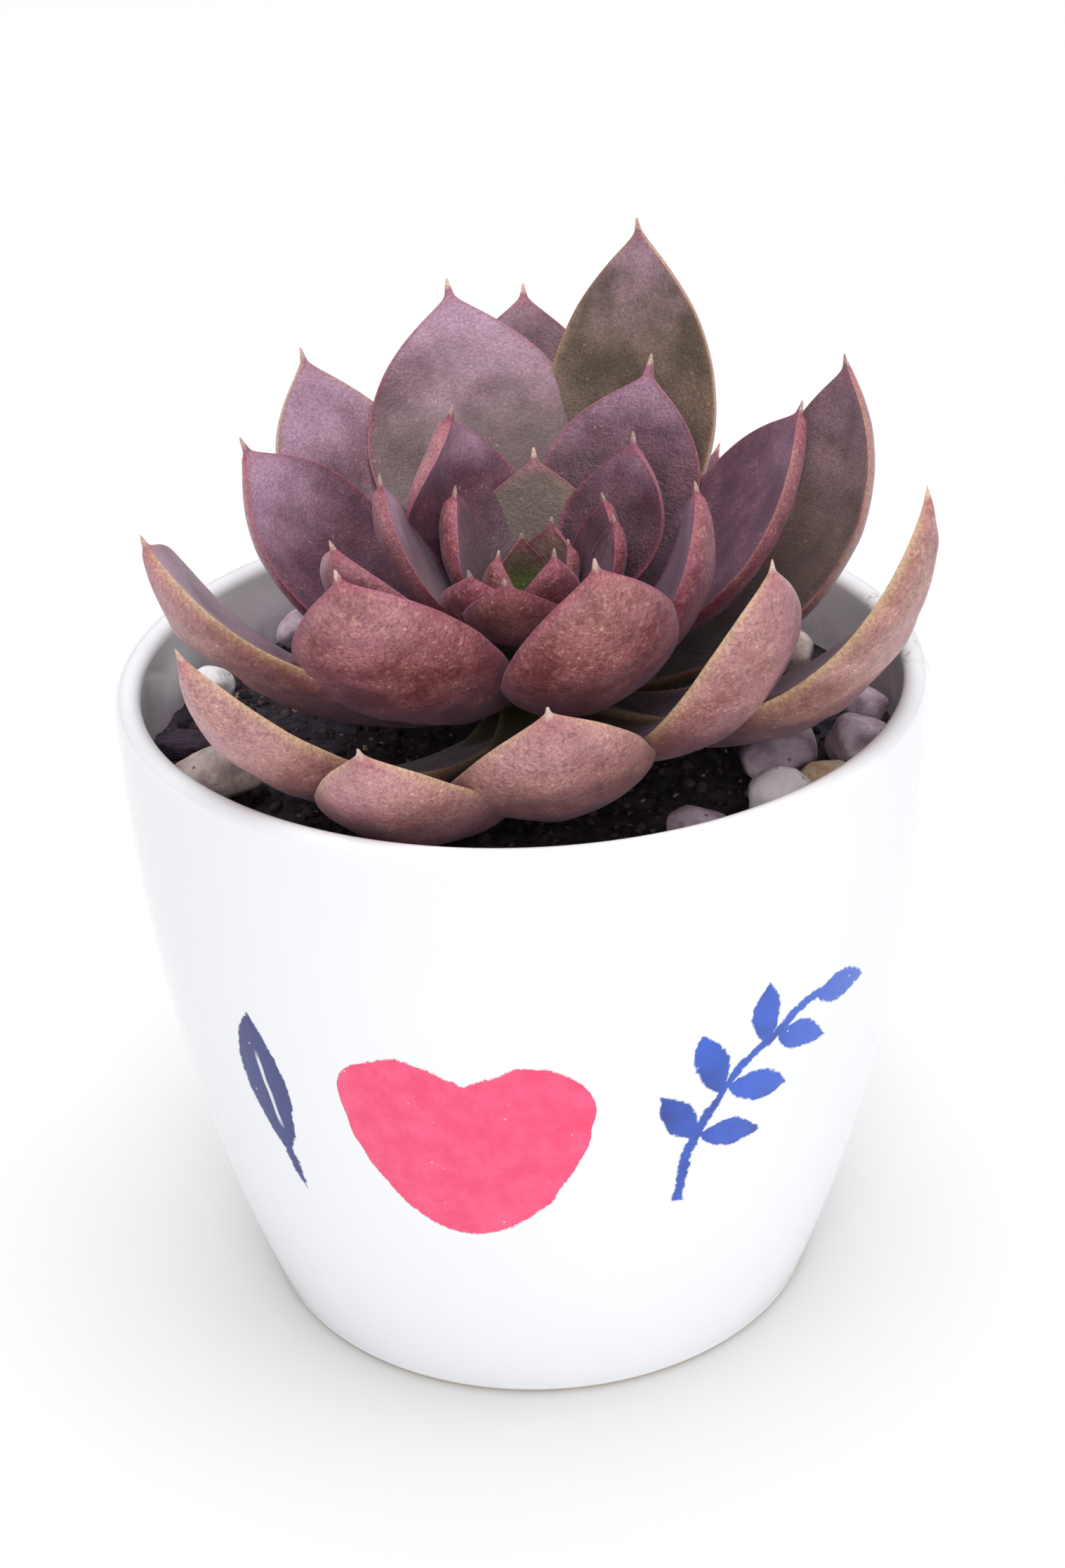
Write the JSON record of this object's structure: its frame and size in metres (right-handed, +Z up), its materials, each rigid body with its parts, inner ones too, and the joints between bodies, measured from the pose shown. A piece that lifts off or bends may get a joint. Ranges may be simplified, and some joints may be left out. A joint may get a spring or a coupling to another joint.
{
  "type": "potted succulent",
  "caption": "Rosette succulent with thick pointed mauve leaves, in gritty soil in a small round white glazed pot with painted motifs.",
  "frame": {"origin": "centre of the pot's flat underside, where it stands", "axes": "+Z up through the pot and the plant, -Y towards the front, where the heart is painted, +X to the right seen from the front"},
  "size_m": [0.076, 0.0765, 0.099],
  "materials": {
    "glazed_ceramic": "white glaze, smooth and glossy, with a painted heart and brushed marks",
    "leaf_skin": "living leaf skin, mauve to red-brown, waxy with a soft bloom; matte plastic stands in for leaf",
    "stem_bark": "green growing tip on a brownish stem",
    "potting_soil": "dark, crumbly potting soil with grit",
    "stone": "rounded pebbles, beige, white, amber and grey",
    "bark": "dark dry bark flake"
  },
  "bodies": {
    "root": {"bark_chip": "bark", "leaf_01": "leaf_skin", "leaf_02": "leaf_skin", "leaf_03": "leaf_skin", "leaf_04": "leaf_skin", "leaf_05": "leaf_skin", "leaf_06": "leaf_skin", "leaf_07": "leaf_skin", "leaf_08": "leaf_skin", "leaf_09": "leaf_skin", "leaf_10": "leaf_skin", "leaf_11": "leaf_skin", "leaf_12": "leaf_skin", "leaf_13": "leaf_skin", "leaf_14": "leaf_skin", "leaf_15": "leaf_skin", "leaf_16": "leaf_skin", "leaf_17": "leaf_skin", "leaf_18": "leaf_skin", "leaf_19": "leaf_skin", "leaf_20": "leaf_skin", "leaf_21": "leaf_skin", "leaf_22": "leaf_skin", "leaf_23": "leaf_skin", "leaf_24": "leaf_skin", "leaf_25": "leaf_skin", "leaf_26": "leaf_skin", "leaf_27": "leaf_skin", "leaf_28": "leaf_skin", "leaf_29": "leaf_skin", "leaf_30": "leaf_skin", "leaf_31": "leaf_skin", "leaf_32": "leaf_skin", "leaf_33": "leaf_skin", "leaf_34": "leaf_skin", "pebble_01": "stone", "pebble_02": "stone", "pebble_03": "stone", "pebble_04": "stone", "pebble_05": "stone", "pebble_06": "stone", "pebble_07": "stone", "pebble_08": "stone", "pebble_09": "stone", "pebble_10": "stone", "pebble_11": "stone", "pebble_12": "stone", "pebble_13": "stone", "pebble_14": "stone", "pot": "glazed_ceramic", "soil": "potting_soil", "stem": "stem_bark"}
  },
  "joints": []
}
